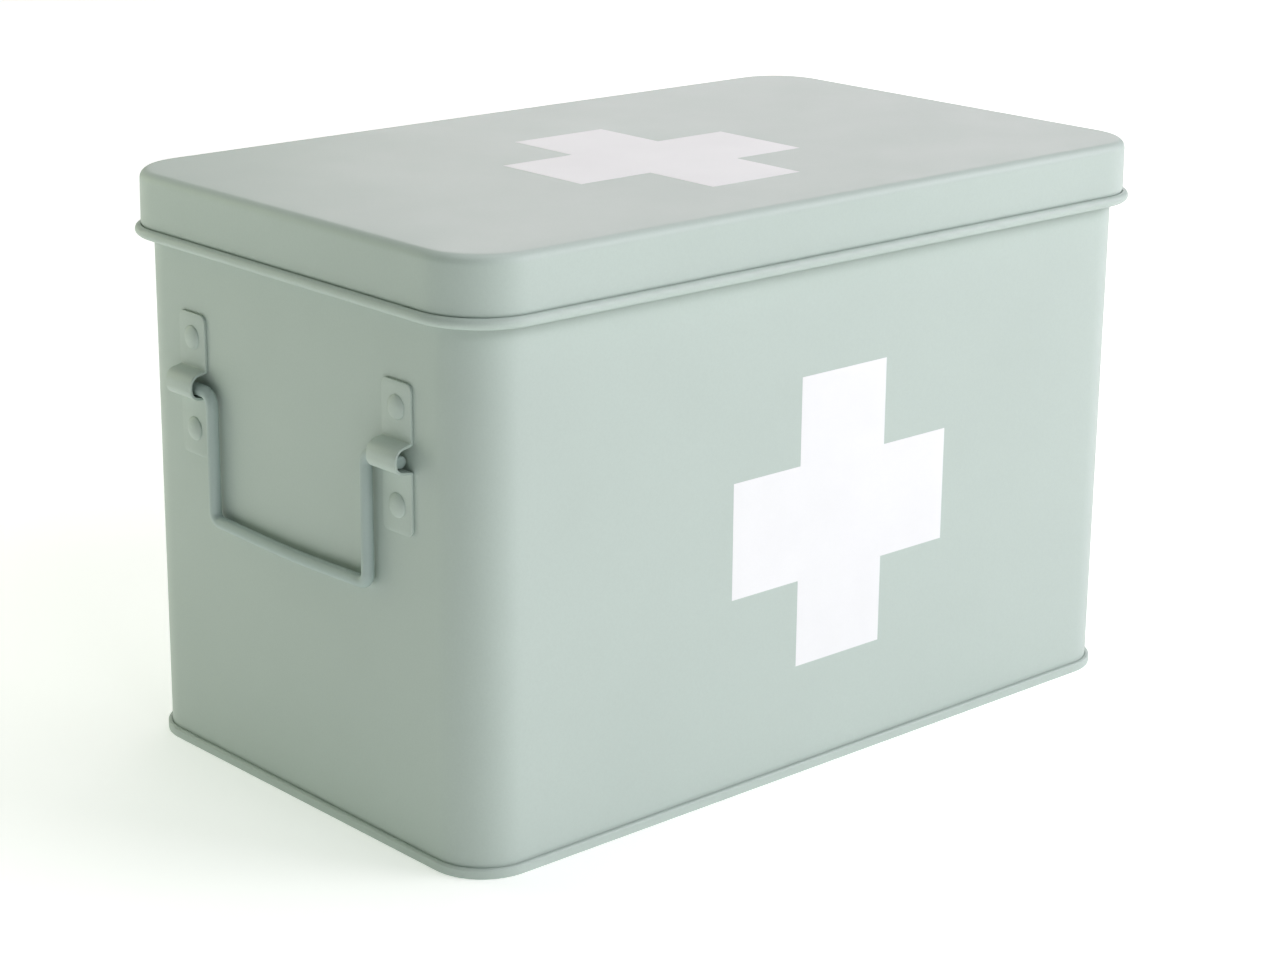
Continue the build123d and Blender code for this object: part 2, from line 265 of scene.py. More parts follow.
class Nodes:
    """A short way to write a node tree."""

    def __init__(self, name):
        self.mat = bpy.data.materials.new(name)
        self.mat.use_nodes = True
        self.tree = self.mat.node_tree
        self.tree.nodes.clear()
        self.out = self.tree.nodes.new("ShaderNodeOutputMaterial")
        self.bsdf = self.tree.nodes.new("ShaderNodeBsdfPrincipled")
        self.tree.links.new(self.bsdf.outputs[0], self.out.inputs["Surface"])
        self.coord = self.tree.nodes.new("ShaderNodeTexCoord")

    def link(self, a, b):
        self.tree.links.new(a, b)

    def noise(self, scale, detail=3.0, rough=0.5, stretch=(1, 1, 1), shift=(0, 0, 0), kind="ShaderNodeTexNoise"):
        m = self.tree.nodes.new("ShaderNodeMapping")
        m.inputs["Scale"].default_value = stretch
        m.inputs["Location"].default_value = shift
        self.link(self.coord.outputs["Object"], m.inputs["Vector"])
        t = self.tree.nodes.new(kind)
        t.inputs["Scale"].default_value = scale
        t.inputs["Detail"].default_value = detail
        t.inputs["Roughness"].default_value = rough
        self.link(m.outputs[0], t.inputs["Vector"])
        return t.outputs[0]

    def spread(self, value, lo, hi, to_lo, to_hi, smooth=False):
        r = self.tree.nodes.new("ShaderNodeMapRange")
        r.clamp = True
        if smooth:
            r.interpolation_type = "SMOOTHSTEP"
        r.inputs["From Min"].default_value = lo
        r.inputs["From Max"].default_value = hi
        r.inputs["To Min"].default_value = to_lo
        r.inputs["To Max"].default_value = to_hi
        self.link(value, r.inputs["Value"])
        return r.outputs[0]

    def math(self, op, a, b):
        m = self.tree.nodes.new("ShaderNodeMath")
        m.operation = op
        for k, v in enumerate((a, b)):
            if isinstance(v, (int, float)):
                m.inputs[k].default_value = v
            else:
                self.link(v, m.inputs[k])
        return m.outputs[0]

    def mix(self, factor, a, b):
        m = self.tree.nodes.new("ShaderNodeMix")
        m.data_type = "RGBA"
        self.link(factor, m.inputs["Factor"])
        for socket, v in ((m.inputs[6], a), (m.inputs[7], b)):
            if isinstance(v, tuple):
                socket.default_value = (*v, 1)
            else:
                self.link(v, socket)
        return m.outputs[2]

    def bump(self, height, distance, strength=1.0, normal=None):
        b = self.tree.nodes.new("ShaderNodeBump")
        b.inputs["Strength"].default_value = strength
        b.inputs["Distance"].default_value = distance
        self.link(height, b.inputs["Height"])
        if normal is not None:
            self.link(normal, b.inputs["Normal"])
        return b.outputs[0]

    def pointiness(self):
        g = self.tree.nodes.new("ShaderNodeNewGeometry")
        return g.outputs["Pointiness"]


def powder(name, colour, seed, rough=0.46, grain=1.0, tone=0.016, wear=0.10, spec=0.55):
    """Powder-coated steel: fine orange peel, faint clouding of the colour, thinner and paler coat on the edges, and
    painted shade that darkens the colour in hollows and creases.
    """
    n = Nodes(name)
    shift = (seed * 0.37, seed * 0.11, seed * 0.23)
    dark = tuple(c * (1 - tone) for c in colour)
    pale = tuple(min(1, c * (1 + tone)) for c in colour)
    cloud = n.noise(9.0, 3.0, 0.55, shift=shift)
    speck = n.noise(1400.0, 2.0, 0.6, shift=shift)
    base = n.mix(n.spread(cloud, 0.32, 0.68, 0.0, 1.0, True), dark, pale)
    grainy = n.mix(n.spread(speck, 0.35, 0.75, 0.0, 0.22), base, tuple(c * 0.86 for c in colour))
    point = n.pointiness()
    breakup = n.noise(260.0, 4.0, 0.65, shift=shift)
    edge = n.math("MULTIPLY", n.spread(point, 0.535, 0.62, 0.0, 1.0, True), n.spread(breakup, 0.35, 0.62, 0.2, 1.0))
    edge = n.math("MULTIPLY", edge, wear * 4)
    worn = n.mix(edge, grainy, tuple(min(1, c * 1.16 + 0.03) for c in colour))
    # painted shade: the colour is darkened where the surface is hollow, in creases and inside corners, where shade
    # falls
    hollow_shade = n.math("MULTIPLY", n.spread(point, 0.40, 0.47, 1.0, 0.0, True), 0.35)
    final = n.mix(hollow_shade, worn, tuple(c * 0.72 for c in colour))
    n.link(final, n.bsdf.inputs["Base Color"])
    blotch = n.noise(45.0, 4.0, 0.6, shift=shift)
    n.link(n.spread(blotch, 0.3, 0.7, rough - 0.025, rough + 0.035), n.bsdf.inputs["Roughness"])
    n.bsdf.inputs["Specular IOR Level"].default_value = spec
    n.bsdf.inputs["Metallic"].default_value = 0.0
    peel = n.noise(620.0, 2.0, 0.5, shift=shift)
    fine = n.noise(1900.0, 2.0, 0.6, shift=shift)
    first = n.bump(peel, 0.00004 * grain, 0.5)
    n.link(n.bump(fine, 0.000014 * grain, 0.5, first), n.bsdf.inputs["Normal"])
    return n.mat


def print_white(name, seed):
    """Screen-printed white layer: flat, a little uneven, with the coat's grain showing through."""
    n = Nodes(name)
    shift = (seed * 0.31, seed * 0.17, seed * 0.29)
    cloud = n.noise(22.0, 4.0, 0.55, shift=shift)
    speck = n.noise(1700.0, 2.0, 0.6, shift=shift)
    base = n.mix(n.spread(cloud, 0.3, 0.7, 0.0, 1.0, True), (0.875, 0.88, 0.885), (0.905, 0.91, 0.915))
    grainy = n.mix(n.spread(speck, 0.4, 0.8, 0.0, 0.18), base, (0.80, 0.815, 0.81))
    n.link(grainy, n.bsdf.inputs["Base Color"])
    n.link(n.spread(n.noise(70.0, 3.0, 0.6, shift=shift), 0.3, 0.7, 0.55, 0.64), n.bsdf.inputs["Roughness"])
    n.bsdf.inputs["Specular IOR Level"].default_value = 0.28
    peel = n.noise(620.0, 2.0, 0.5, shift=shift)
    first = n.bump(peel, 0.00003, 0.5)
    n.link(n.bump(n.noise(2100.0, 2.0, 0.6, shift=shift), 0.00001, 0.4, first), n.bsdf.inputs["Normal"])
    return n.mat


SAGE = (0.502, 0.588, 0.540)
paint = powder("sage_coat", SAGE, 1)
lid_paint = powder("sage_coat_lid", SAGE, 5)
strap_paint = powder("sage_coat_straps", SAGE, 9, wear=0.13)
rivet_paint = powder("sage_coat_rivets", SAGE, 12, wear=0.13)
wire_paint = powder("sage_coat_wire", (0.415, 0.510, 0.485), 15, rough=0.42, wear=0.12)
tray_paint = powder("sage_coat_tray", SAGE, 20)
ledge_paint = powder("sage_coat_ledges", SAGE, 24)
white = print_white("white_print", 3)

# ----------------------------------------------------------------- body wall
COUNTS = (52, 30, 22)
ring = base_ring(*COUNTS)


def wall_wave(x, y, nx, ny, z):
    """How far the wall stands off a true plane: thin sheet is never quite flat."""
    along = x if abs(ny) > 0.5 else y
    side = 11.3 if ny < -0.5 else 23.7 if nx > 0.5 else 35.1 if ny > 0.5 else 47.9
    fade = edge_fade((x, y, nx, ny), 26.0)
    high = max(0.0, min(1.0, (z - 4) / 24)) * max(0.0, min(1.0, (RIM_Z - 5 - z) / 26))
    high = high * high * (3 - 2 * high)
    amount = 0.22 * bump_noise(along, z, side, 110.0) + 0.03 * bump_noise(along, z, side + 5, 42.0)
    if abs(nx) > 0.5:
        # the ends lie flat behind the straps
        near = min(abs(abs(y - HANDLE_Y) - STRAP_OFF), 40.0)
        keep = max(0.0, min(1.0, (near - 9.0) / 16.0))
        if z < STRAP_LOW - 22 or z > STRAP_HIGH + 22:
            keep = 1.0
        elif z < STRAP_LOW - 2 or z > STRAP_HIGH + 2:
            beyond = (STRAP_LOW - 2 - z) if z < STRAP_LOW else (z - STRAP_HIGH - 2)
            keep = max(keep, beyond / 20.0)
        amount *= keep
    return amount * fade * high


def wall_move(p, out, z):
    x, y, nx, ny = p
    return wall_wave(x, y, nx, ny, z) if out <= 0.01 and z < RIM_Z - 3 else 0.0


wall_z = [1.0, 2.2, 3.3, 3.8, 5.0, 7.5] + spaced(12.0, 178.0, 46) + [182.0, 185.0, 187.5, 189.5]
middle = [Vector((-SHEET / 2, z)) for z in wall_z]
jog = 8
for k in range(1, jog + 1):
    w = k / jog
    middle.append(Vector((-SHEET / 2 + (SHEET / 2) * (w * w * (3 - 2 * w)), 189.5 + (RIM_Z - 189.5) * w)))
curl_r = RIM_R - SHEET / 2
middle += [Vector(p) for p in arc(RIM_OUT, RIM_Z, curl_r, 180, -112, 26)[1:]]
verts, faces = swept(ring, sheet_profile(middle, SHEET, 4), move=wall_move)
add_mesh("Body_Wall", verts, faces, paint, "body", "body_wall")

# flattened lock seam down the back
lock = []
lock_section = [
    (-LOCK_W / 2 - 0.25, -0.15),
    (-LOCK_W / 2 - 0.05, 0.12),
    (-LOCK_W / 2 + 0.12, 0.5),
    (-LOCK_W / 2 + 0.45, 0.8),
    (-LOCK_W / 2 + 0.95, LOCK_OUT),
    (-0.6, LOCK_OUT),
    (1.6, LOCK_OUT - 0.02),
    (LOCK_W / 2 - 0.6, LOCK_OUT - 0.04),
    (LOCK_W / 2 - 0.22, LOCK_OUT - 0.18),
    (LOCK_W / 2, 0.55),
    (LOCK_W / 2 + 0.02, -0.15),
]
lock_z = [SEAM_H + 0.2, SEAM_H + 0.5, SEAM_H + 1.4] + spaced(10, 184, 60) + [RIM_Z - 4.2, RIM_Z - 3.2, RIM_Z - 2.6]
verts, faces = [], []
for k, z in enumerate(lock_z):
    ease = min(1.0, 0.35 + 0.65 * min((z - SEAM_H - 0.2) / 1.2, (RIM_Z - 2.6 - z) / 1.6))
    for x, h in lock_section:
        press = 0.05 * bump_noise(x * 3, z, 71.0, 23.0)
        verts.append((x + 0.06 * bump_noise(0, z, 75.0, 31.0), HALF_W + h * ease + (press if h > 0.3 else 0) - 0.02, z))
m = len(lock_section)
for k in range(len(lock_z) - 1):
    for j in range(m):
        a, b = k * m + j, k * m + (j + 1) % m
        faces.append((a, b, b + m, a + m))
faces.append(tuple(range(m)))
faces.append(tuple((len(lock_z) - 1) * m + j for j in reversed(range(m))))
add_mesh("Rear_Lock_Seam", verts, faces, paint, "body", split=40)

# -------------------------------------------------------------- bottom panel


def panel_z(x, y):
    inset = min(HALF_L - abs(x), HALF_W - abs(y))
    k = max(0.0, min(1.0, (inset - 10) / 30))
    return 0.22 * bump_noise(x, y, 61.0, 88.0) * k


foot = []
foot += [(-SHEET + 0.02, SEAM_H - 0.02), (-SHEET + 0.05, SEAM_CROWN), (-0.05, SEAM_CROWN), (-0.02, SEAM_H - 0.35)]
foot += [(0.18, SEAM_H - 0.06), (0.42, SEAM_H)]
foot += arc(SEAM_OUT - 0.72, SEAM_H - 0.72, 0.72, 90, 0, 7)
foot += [(SEAM_OUT, 2.2), (SEAM_OUT - 0.03, 1.6), (SEAM_OUT, 1.1)]
foot += arc(SEAM_OUT - 0.6, 0.6, 0.6, 0, -90, 6)
foot += [(0.2, 0.0), (-0.6, 0.0)]
foot += arc(-SHEET - SEAM_LEG + 0.45, 0.45, 0.45, -90, -180, 4)
foot += [(-SHEET - SEAM_LEG, SEAM_H - SHEET - 0.5)]
foot += arc(-SHEET - SEAM_LEG - 0.5, SEAM_H - SHEET - 0.5, 0.5, 0, 90, 4)
verts, faces = swept(ring, foot, closed=False)
plate(ring, COUNTS, foot[-1][0], lambda x, y: SEAM_H - SHEET + min(panel_z(x, y), 0.0), -CORNER, 7, verts, faces, flip=True)
plate(ring, COUNTS, foot[0][0], lambda x, y: SEAM_H - 0.02 + min(panel_z(x, y), 0.0), -CORNER, 7, verts, faces)
add_mesh("Bottom_Panel", verts, faces, paint, "body", "bottom_panel", merge=2e-6)

# ----------------------------------------------------------------- lid shell


def top_z(x, y):
    """The lid's top: a touch hollow, as drawn thin sheet is."""
    inset = min(HALF_L + 0.8 - abs(x), HALF_W + 0.8 - abs(y))
    k = max(0.0, min(1.0, (inset - 4) / 34))
    k = k * k * (3 - 2 * k)
    return k * (-0.07 + 0.035 * bump_noise(x, y, 83.0, 120.0))


def top_clear(x, y):
    return min(top_z(x, y), 0.0)


skirt = []
low = 179.4
start_out = BEAD_OUT - (BEAD_R - SHEET / 2)
skirt_out = lambda z: LID_LOW_OUT + (LID_TOP_OUT - LID_LOW_OUT) * (z - BEAD_Z) / (TOP - BEAD_Z) - SHEET / 2
middle = [Vector(p) for p in arc(BEAD_OUT, BEAD_Z, BEAD_R - SHEET / 2, 456, 180, 30)]
for k in range(1, 9):
    w = k / 8
    z = BEAD_Z + (low - BEAD_Z) * w
    middle.append(Vector((start_out + (skirt_out(low) - start_out) * (w * w * (3 - 2 * w)), z)))
for z in spaced(180.4, TOP - LID_FILLET - 0.8, 12):
    middle.append(Vector((skirt_out(z), z)))
fr = LID_FILLET - SHEET / 2
top_mid = TOP - SHEET / 2
fx = skirt_out(TOP - LID_FILLET) - fr
middle += [Vector(p) for p in arc(fx, top_mid - fr, fr, 0, 90, 14)]
outer = offset_path(middle, SHEET / 2)
inner = offset_path(middle, -SHEET / 2)
outer[-1], inner[-1] = Vector((fx, TOP)), Vector((fx, TOP - SHEET))
if outer[-8].x < inner[-8].x:
    outer, inner = inner, outer
    outer[-1], inner[-1] = Vector((fx, TOP)), Vector((fx, TOP - SHEET))
tip = (middle[0] - middle[1]).normalized()
nose = [tuple(middle[0] + tip * 0.16 + (outer[0] - middle[0]) * 0.55), tuple(middle[0] + tip * 0.16 + (inner[0] - middle[0]) * 0.55)]
profile = [tuple(p) for p in reversed(outer)] + nose + [tuple(p) for p in inner]


def lid_move(p, out, z):
    x, y, nx, ny = p
    along = x if abs(ny) > 0.5 else y
    side = 111.3 if ny < -0.5 else 123.7 if nx > 0.5 else 135.1 if ny > 0.5 else 147.9
    mid = max(0.0, min(1.0, (z - 178.5) / 6)) * max(0.0, min(1.0, (TOP - 3.2 - z) / 4))
    return -abs(0.10 * bump_noise(along, z, side, 70.0)) * edge_fade(p, 24.0) * mid


verts, faces = swept(ring, profile, closed=False, move=lid_move)
plate(ring, COUNTS, fx, lambda x, y: TOP + top_clear(x, y), -CORNER, 8, verts, faces)
plate(ring, COUNTS, fx, lambda x, y: TOP - SHEET + top_clear(x, y), -CORNER, 8, verts, faces, flip=True)
add_mesh("Lid_Cover", verts, faces, lid_paint, "lid", "lid_shell", merge=2e-6)

# -------------------------------------------------------------------- crosses


def cross_grid(step):
    """Coordinates along one axis of a cross, with close lines by the arm's edges."""
    e = 0.35
    marks = [-SPAN, -SPAN + e, -ARM - e, -ARM, -ARM + e, ARM - e, ARM, ARM + e, SPAN - e, SPAN]
    out = []
    for a, b in zip(marks, marks[1:]):
        n = max(1, round((b - a) / step))
        out += [a + (b - a) * i / n for i in range(n)]
    return out + [SPAN]


def cross(name, place, material, body, node):
    """A printed cross: its top, a rounded-over edge and its underside in the coat. place(u, v, h) gives a point h above the surface."""
    g = cross_grid(4.2)
    n = len(g)
    inside = lambda u, v: (abs(u) <= ARM + 1e-6 and abs(v) <= SPAN + 1e-6) or (abs(v) <= ARM + 1e-6 and abs(u) <= SPAN + 1e-6)
    verts, faces, index = [], [], {}
    rim = 0.35

    def pull(u, v):
        """Distance to the outline, for rounding it over."""
        if abs(u) <= ARM + 1e-6 and abs(v) <= ARM + 1e-6:
            d = math.hypot(ARM - abs(u), ARM - abs(v))
            return d
        if abs(v) > ARM:
            return min(ARM - abs(u), SPAN - abs(v))
        return min(ARM - abs(v), SPAN - abs(u))

    for side in (0, 1):
        for i in range(n):
            for j in range(n):
                if inside(g[i], g[j]):
                    index[side, i, j] = len(verts)
                    u, v = g[i], g[j]
                    d = pull(u, v)
                    if side == 0:
                        h = 0.075 if d > 1e-6 else 0.045
                    else:
                        h = -0.06
                    verts.append(place(u, v, h))
    used = {}
    for i in range(n - 1):
        for j in range(n - 1):
            mu, mv = (g[i] + g[i + 1]) / 2, (g[j] + g[j + 1]) / 2
            if inside(mu, mv):
                q = [(i, j), (i + 1, j), (i + 1, j + 1), (i, j + 1)]
                faces.append(tuple(index[(0, *k)] for k in q))
                faces.append(tuple(index[(1, *k)] for k in reversed(q)))
                for a, b in zip(q, q[1:] + q[:1]):
                    key = tuple(sorted((a, b)))
                    used[key] = (None if key in used else (a, b))
    for edge in used.values():
        if edge:
            a, b = edge
            faces.append((index[(0, *b)], index[(0, *a)], index[(1, *a)], index[(1, *b)]))
    return add_mesh(name, verts, faces, material, body, node, split=50)


cx, cz = FRONT_CROSS
cross(
    "Front_Cross",
    lambda u, v, h: (cx + u, -(HALF_W + wall_wave(cx + u, -HALF_W, 0, -1, cz + v) + h), cz + v),
    white,
    "body",
    "front_cross",
)
lx, ly = LID_CROSS
cross("Lid_Cross", lambda u, v, h: (lx + u, ly + v, TOP + top_clear(lx + u, ly + v) + h), white, "lid", "lid_cross")

# -------------------------------------------------------------- handle straps


def strip(name, path, width, thick, place, material, body, node, corner=2.5, soft=0.22, wobble=0.0, seed=0.0):
    """A bent flat strip. path runs along its inner face as (out, z); place(out, across, z) gives the point."""
    # stations along the strip, close together at both ends
    length = [0.0]
    for a, b in zip(path, path[1:]):
        length.append(length[-1] + (b - a).length)
    total = length[-1]
    near = [0, 0.03, 0.09, 0.18, 0.3, 0.5, 0.8, 1.2, 1.7, 2.5]
    stops = sorted(set([round(s, 4) for s in near] + [round(total - s, 4) for s in near]))
    for s in length:
        if 2.7 < s < total - 2.7 and min(abs(s - q) for q in stops) > 0.12:
            stops.append(round(s, 4))
    stops.sort()
    extra = []
    for a, b in zip(stops, stops[1:]):
        n = int((b - a) / 2.2)
        extra += [a + (b - a) * k / (n + 1) for k in range(1, n + 1)]
    stops = sorted(stops + extra)

    def along(s):
        for k in range(1, len(length)):
            if s <= length[k] + 1e-9:
                w = (s - length[k - 1]) / max(1e-9, length[k] - length[k - 1])
                return path[k - 1].lerp(path[k], w)
        return path[-1].copy()

    def normal(s):
        a, b = along(max(0.0, s - 0.22)), along(min(total, s + 0.22))
        t = (b - a).normalized()
        n = Vector((t.y, -t.x))
        return n

    section = []
    q = 4
    for su, sv, a0 in ((1, -1, -90), (1, 1, 0), (-1, 1, 90), (-1, -1, 180)):
        for k in range(q + 1):
            ang = math.radians(a0 + 90 * k / q)
            section.append((su, sv, math.cos(ang), math.sin(ang)))
    verts, faces = [], []
    for s in stops:
        e = min(s, total - s)
        hw = width / 2 - (corner - math.sqrt(max(0.0, corner**2 - (corner - e) ** 2)) if e < corner else 0.0)
        r = soft
        shrink = (r - math.sqrt(max(0.0, r * r - (r - e) ** 2))) if e < r else 0.0
        p, n = along(s), normal(s)
        ripple = wobble * bump_noise(s, 0, seed, 9.0)
        for su, sv, cu, cv in section:
            u = su * (hw - r) + cu * r if hw > r else su * 0.01
            u -= (shrink if u > 0 else -shrink)
            v = (thick - r if sv > 0 else r) + cv * r
            v = min(max(v, shrink), thick - shrink)
            u += ripple
            verts.append(place(p.x + n.x * v, u, p.y + n.y * v))
    m = len(section)
    for i in range(len(stops) - 1):
        for j in range(m):
            a, b = i * m + j, i * m + (j + 1) % m
            faces.append((a, b, b + m, a + m))
    faces.append(tuple(reversed(range(m))))
    faces.append(tuple((len(stops) - 1) * m + j for j in range(m)))
    return add_mesh(name, verts, faces, material, body, node, split=60)


loop_points = [
    (0, STRAP_LOW),
    (0, LOOP_LOW),
    (LOOP_D, LOOP_LOW + 0.75),
    (LOOP_D, LOOP_HIGH - 1.2),
    (0, LOOP_HIGH),
    (0, STRAP_HIGH),
]
loop_path = fillet_path(loop_points, (0.8, 2.6, 3.2, 1.3), 10)


def rivet(name, side, y, node, seed):
    """Two rivets: a low pressed dome outside, a shank and an upset tail inside."""
    verts, faces = [], []
    n = 44
    head = [
        (0.0, RIVET_H),
        (0.5, RIVET_H - 0.005),
        (1.0, RIVET_H - 0.03),
        (1.5, RIVET_H - 0.085),
        (2.0, RIVET_H - 0.17),
        (2.5, RIVET_H - 0.29),
        (3.0, RIVET_H - 0.46),
        (3.4, RIVET_H - 0.64),
        (3.7, RIVET_H - 0.82),
        (3.88, RIVET_H - 0.97),
        (3.97, RIVET_H - 1.10),
        (4.0, 0.04),
        (3.98, -0.02),
        (2.6, -0.03),
        (2.02, -0.05),
        (2.0, -0.3),
        (2.0, -0.95),
        (2.0, -1.60),
        (2.15, -1.645),
        (2.85, -1.66),
        (2.98, -1.80),
        (3.0, -2.0),
        (2.9, -2.2),
        (2.55, -2.4),
        (1.8, -2.5),
        (0.9, -2.54),
        (0.0, -2.55),
    ]
    for i, z in enumerate(RIVET_Z):
        start = len(verts)
        dx, dy = 0.06 * bump_noise(seed, i, 3.0, 0.7), 0.06 * bump_noise(i, seed, 4.0, 0.7)
        for k in range(n):
            ang = 2 * math.pi * k / n
            for r, h in head:
                dent = 1 + 0.012 * math.sin(2 * ang + seed + i) * (r / 4) + 0.006 * math.sin(3 * ang + 2 * seed)
                tilt = 0.018 * math.sin(ang + seed * 2 + i) * r * (1 if h > 0.5 else 0)
                u, v = r * dent * math.cos(ang) + dx, r * dent * math.sin(ang) + dy
                verts.append((side * (HALF_L + STRAP_T + h + tilt * 0.6), y + u, z + v))
        m = len(head)
        for k in range(n):
            for j in range(m - 1):
                a, b = start + k * m + j, start + k * m + j + 1
                c, d = start + ((k + 1) % n) * m + j + 1, start + ((k + 1) % n) * m + j
                faces.append((a, b, c, d))
    return add_mesh(name, verts, faces, rivet_paint, "body", node, merge=3e-5, split=52)


for side, word in ((-1, "left"), (1, "right")):
    for y, place_word in ((HANDLE_Y - STRAP_OFF, "front"), (HANDLE_Y + STRAP_OFF, "rear")):
        tag = word.capitalize() + "_" + place_word.capitalize()
        strip(
            tag + "_Strap",
            loop_path,
            STRAP_W,
            STRAP_T,
            lambda out, u, z, side=side, y=y: (side * (HALF_L + out), y + u, z),
            strap_paint,
            "body",
            f"{word}_{place_word}_bracket",
            wobble=0.05,
            seed=side * 3.0 + y,
        )
        rivet(tag + "_Rivets", side, y, f"{word}_{place_word}_rivets", 2.0 + side + (3 if y > 0 else 0))

# ------------------------------------------------------------------ wire bails


def bail(name, side, body, node, seed):
    pts = [
        (-PIN_END, PIN_Z),
        (-LEG, PIN_Z),
        (-LEG, BAR_Z),
        (LEG, BAR_Z),
        (LEG, PIN_Z),
        (PIN_END, PIN_Z),
    ]
    path = fillet_path(pts, (PIN_BEND, BAR_BEND, BAR_BEND, PIN_BEND), 14)
    dense = [path[0]]
    for a, b in zip(path, path[1:]):
        n = max(1, int((b - a).length / 2.0))
        dense += [a.lerp(b, k / n) for k in range(1, n + 1)]
    # hand-bent wire: the bar bows down a little between its bends
    for p in dense:
        if p.y < BAR_Z + 2.5 and abs(p.x) < LEG - 1:
            t = 1 - (p.x / (LEG - 1)) ** 2
            p.y -= BAR_BOW * t * t * max(0.0, min(1.0, (BAR_Z + 2.5 - p.y) / 2.5))
    # the cut ends: sheared square, their edge just broken
    ends = [0.0, 0.10, 0.28, 0.55]
    t0, t1 = (dense[1] - dense[0]).normalized(), (dense[-1] - dense[-2]).normalized()
    a0, a1 = dense[0].copy(), dense[-1].copy()
    dense = [a0 + t0 * e for e in ends] + dense[1:-1] + [a1 - t1 * e for e in reversed(ends)]
    radii = [WIRE_R - 0.30, WIRE_R - 0.12, WIRE_R - 0.02, WIRE_R]
    n = 28
    verts, faces = [], []
    count = len(dense)
    run = 0.0
    for i, p in enumerate(dense):
        a, b = dense[max(i - 1, 0)], dense[min(i + 1, count - 1)]
        if i:
            run += (p - dense[i - 1]).length
        t = (b - a).normalized()
        side_dir = Vector((-t.y, t.x))
        r = radii[i] if i < 4 else radii[count - 1 - i] if count - 1 - i < 4 else WIRE_R
        for k in range(n):
            ang = 2 * math.pi * k / n
            c, s = math.cos(ang), math.sin(ang)
            rr = r * (1 + 0.008 * bump_noise(run, k * 2.0, seed, 11.0))
            u, v = p.x + side_dir.x * c * rr, p.y + side_dir.y * c * rr
            verts.append((side * (HALF_L + PIN_OUT + s * rr), HANDLE_Y + u, v))
    for i in range(count - 1):
        for k in range(n):
            a, b = i * n + k, i * n + (k + 1) % n
            faces.append((a, b, b + n, a + n))
    for first, sign, point in ((0, 1, dense[0]), ((count - 1) * n, -1, dense[-1])):
        # a face with the faint step that a shear leaves
        centre = len(verts)
        ringv = []
        for k in range(n):
            x, y, z = verts[first + k]
            cxm, czm = side * (HALF_L + PIN_OUT), point.y
            f = 0.62
            step = 0.05 * sign * (1 if math.sin(2 * math.pi * k / n + seed) > 0 else -0.4)
            ringv.append(len(verts))
            verts.append((cxm + (x - cxm) * f, y + step, czm + (z - czm) * f))
        mid = len(verts)
        verts.append((side * (HALF_L + PIN_OUT), HANDLE_Y + point.x + 0.03 * sign, point.y))
        for k in range(n):
            k2 = (k + 1) % n
            faces.append((first + k2, first + k, ringv[k], ringv[k2]))
            faces.append((ringv[k2], ringv[k], mid))
    return add_mesh(name, verts, faces, wire_paint, body, node, split=50)


bail("Left_Bail", -1, "left_bail", "left_handle", 5.0)
bail("Right_Bail", 1, "right_bail", "right_handle", 9.0)

# --------------------------------------------------- CAD nodes with new looks
for node, material in (
    ("tray_shell", tray_paint),
    ("tray_long_divider", tray_paint),
    ("tray_cross_dividers", tray_paint),
    ("left_tray_ledge", ledge_paint),
    ("right_tray_ledge", ledge_paint),
):
    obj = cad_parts[node]
    obj.data.materials.clear()
    obj.data.materials.append(material)

# ----------------------------------------------------------- floor and lights
floor_mat = Nodes("pale_floor")
cloud = floor_mat.noise(3.0, 3.0, 0.5)
floor_mat.link(
    floor_mat.mix(floor_mat.spread(cloud, 0.3, 0.7, 0.0, 1.0), (0.93, 0.93, 0.93), (0.945, 0.945, 0.945)),
    floor_mat.bsdf.inputs["Base Color"],
)
floor_mat.bsdf.inputs["Roughness"].default_value = 0.9
floor_mat.bsdf.inputs["Specular IOR Level"].default_value = 0.1
# a sweep lit from below, weaker close to the box
floor_mat.bsdf.inputs["Emission Color"].default_value = (0.95, 1.0, 0.94, 1)
reach = floor_mat.tree.nodes.new("ShaderNodeVectorMath")
reach.operation = "LENGTH"
floor_mat.link(floor_mat.coord.outputs["Object"], reach.inputs[0])
near_glow = floor_mat.spread(reach.outputs["Value"], 0.24, 0.85, 0.37, 0.44, True)
far_glow = floor_mat.spread(reach.outputs["Value"], 1.2, 3.5, 0.0, 0.5, True)
floor_mat.link(floor_mat.math("ADD", near_glow, far_glow), floor_mat.bsdf.inputs["Emission Strength"])
mesh = bpy.data.meshes.new("floor")
size = 30.0
mesh.from_pydata([(-size, -size, 0), (size, -size, 0), (size, size, 0), (-size, size, 0)], [], [(0, 1, 2, 3)])
mesh.materials.append(floor_mat.mat)
floor = bpy.data.objects.new("floor", mesh)
bpy.context.scene.collection.objects.link(floor)

world = bpy.data.worlds.new("studio")
bpy.context.scene.world = world
world.use_nodes = True
wt = world.node_tree
wt.nodes.clear()
w_out = wt.nodes.new("ShaderNodeOutputWorld")
w_coord = wt.nodes.new("ShaderNodeTexCoord")
w_add = wt.nodes.new("ShaderNodeAddShader")
wt.links.new(w_add.outputs[0], w_out.inputs["Surface"])


